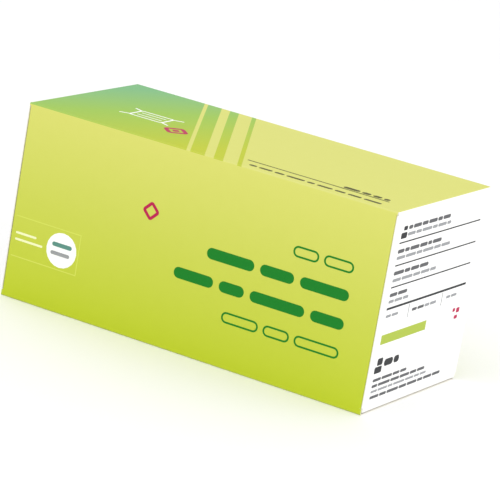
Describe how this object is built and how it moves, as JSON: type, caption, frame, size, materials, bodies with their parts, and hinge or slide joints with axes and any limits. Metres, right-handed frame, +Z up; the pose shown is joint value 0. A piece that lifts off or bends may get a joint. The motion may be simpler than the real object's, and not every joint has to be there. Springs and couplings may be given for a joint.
{
  "type": "mask carton",
  "caption": "Folded paperboard carton for surgical face masks: a printed sleeve, closed at each end by a creased lid with a tuck flap over dust flaps.",
  "frame": {"origin": "centre of the carton's underside, where it stands", "axes": "+X along the carton's length towards the right-hand lid, +Y from the front panel to the back panel, +Z up"},
  "size_m": [0.2, 0.096, 0.096],
  "materials": {
    "printed_board": "coated paperboard printed yellow-green outside, plain white inside, semi-gloss",
    "white_board": "coated white paperboard, semi-gloss outside, matte inside"
  },
  "bodies": {
    "sleeve": {"sleeve": "printed_board"},
    "right_lid": {"right_lid": "white_board"},
    "right_tuck_flap": {"right_tuck_flap": "white_board"},
    "right_front_dust_flap": {"right_front_dust_flap": "white_board"},
    "right_back_dust_flap": {"right_back_dust_flap": "white_board"},
    "left_lid": {"left_lid": "white_board"},
    "left_tuck_flap": {"left_tuck_flap": "white_board"},
    "left_front_dust_flap": {"left_front_dust_flap": "white_board"},
    "left_back_dust_flap": {"left_back_dust_flap": "white_board"}
  },
  "joints": [
    {"name": "right_lid_crease", "type": "hinge", "parent": "sleeve", "child": "right_lid", "pos_m": [0.09977, 0, 0.09577], "axis": [0, -1, 0], "range_deg": [0, 150]},
    {"name": "right_tuck_crease", "type": "hinge", "parent": "right_lid", "child": "right_tuck_flap", "pos_m": [0.09971, 0, 0.00099], "axis": [0, -1, 0], "range_deg": [0, 60]},
    {"name": "right_front_dust_crease", "type": "hinge", "parent": "sleeve", "child": "right_front_dust_flap", "pos_m": [0.09897, -0.04777, 0.048], "axis": [0, 0, -1], "range_deg": [0, 90]},
    {"name": "right_back_dust_crease", "type": "hinge", "parent": "sleeve", "child": "right_back_dust_flap", "pos_m": [0.09897, 0.04777, 0.048], "axis": [0, 0, 1], "range_deg": [0, 90]},
    {"name": "left_lid_crease", "type": "hinge", "parent": "sleeve", "child": "left_lid", "pos_m": [-0.09977, 0, 0.09577], "axis": [0, 1, 0], "range_deg": [0, 150]},
    {"name": "left_tuck_crease", "type": "hinge", "parent": "left_lid", "child": "left_tuck_flap", "pos_m": [-0.09971, 0, 0.00099], "axis": [0, 1, 0], "range_deg": [0, 60]},
    {"name": "left_front_dust_crease", "type": "hinge", "parent": "sleeve", "child": "left_front_dust_flap", "pos_m": [-0.09897, -0.04777, 0.048], "axis": [0, 0, 1], "range_deg": [0, 90]},
    {"name": "left_back_dust_crease", "type": "hinge", "parent": "sleeve", "child": "left_back_dust_flap", "pos_m": [-0.09897, 0.04777, 0.048], "axis": [0, 0, -1], "range_deg": [0, 90]}
  ],
  "couplings": [
    {"joint": "right_tuck_crease", "follows": "right_lid_crease", "ratio": 0.4},
    {"joint": "right_front_dust_crease", "follows": "right_lid_crease", "ratio": 0.6},
    {"joint": "right_back_dust_crease", "follows": "right_lid_crease", "ratio": 0.6},
    {"joint": "left_tuck_crease", "follows": "left_lid_crease", "ratio": 0.4},
    {"joint": "left_front_dust_crease", "follows": "left_lid_crease", "ratio": 0.6},
    {"joint": "left_back_dust_crease", "follows": "left_lid_crease", "ratio": 0.6}
  ]
}
